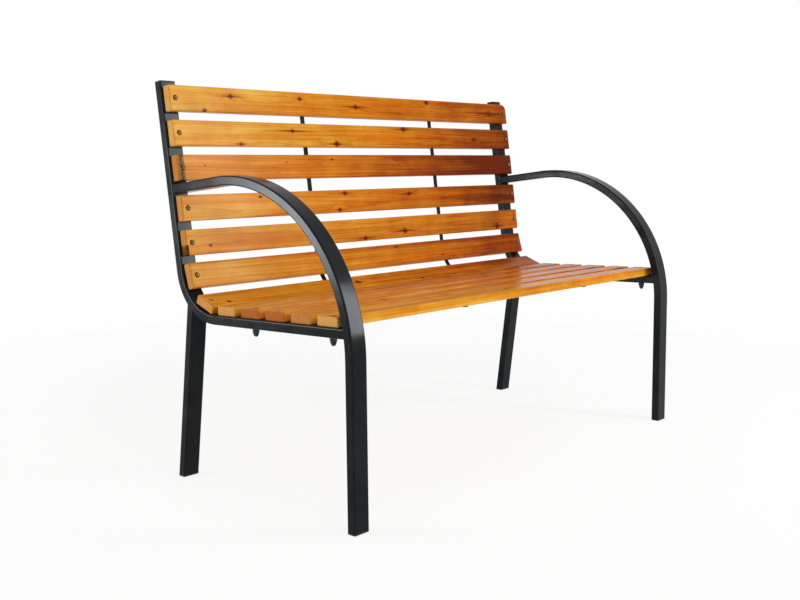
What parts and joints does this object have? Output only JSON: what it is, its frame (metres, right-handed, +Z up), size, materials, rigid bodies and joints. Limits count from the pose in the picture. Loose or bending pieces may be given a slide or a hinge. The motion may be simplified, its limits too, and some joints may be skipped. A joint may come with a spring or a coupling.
{
  "type": "garden bench",
  "caption": "Outdoor bench with slatted wooden seat and leaning back, on two bent flat-tube side frames with arched arms.",
  "frame": {"origin": "on the ground, at the middle of the bench's length and depth", "axes": "+Z up, -Y towards the front where a sitter's legs go, +X along the slats to the sitter's left as they sit"},
  "size_m": [1.21, 0.5998, 0.8558],
  "materials": {
    "black_powder_coat": "semi-gloss powder coat",
    "varnished_pine": "gloss varnish",
    "black_plastic": "moulded",
    "black_fastener": "black zinc"
  },
  "bodies": {
    "root": {"left_arm_leg_tube": "black_powder_coat", "left_back_seat_tube": "black_powder_coat", "left_rear_leg": "black_powder_coat", "left_middle_strap": "black_powder_coat", "right_arm_leg_tube": "black_powder_coat", "right_back_seat_tube": "black_powder_coat", "right_rear_leg": "black_powder_coat", "right_middle_strap": "black_powder_coat", "back_slat_1": "varnished_pine", "back_slat_2": "varnished_pine", "back_slat_3": "varnished_pine", "back_slat_4": "varnished_pine", "back_slat_5": "varnished_pine", "back_slat_6": "varnished_pine", "seat_slat_1": "varnished_pine", "seat_slat_2": "varnished_pine", "seat_slat_3": "varnished_pine", "seat_slat_4": "varnished_pine", "seat_slat_5": "varnished_pine", "seat_slat_6": "varnished_pine", "left_top_cap": "black_plastic", "left_front_foot": "black_plastic", "left_rear_foot": "black_plastic", "right_top_cap": "black_plastic", "right_front_foot": "black_plastic", "right_rear_foot": "black_plastic", "left_back_screws": "black_fastener", "left_seat_screws": "black_fastener", "left_seat_bolts": "black_fastener", "left_nut_washers": "black_fastener", "left_cap_nuts": "black_fastener", "left_strap_screws": "black_fastener", "right_back_screws": "black_fastener", "right_seat_screws": "black_fastener", "right_seat_bolts": "black_fastener", "right_nut_washers": "black_fastener", "right_cap_nuts": "black_fastener", "right_strap_screws": "black_fastener"}
  },
  "joints": []
}
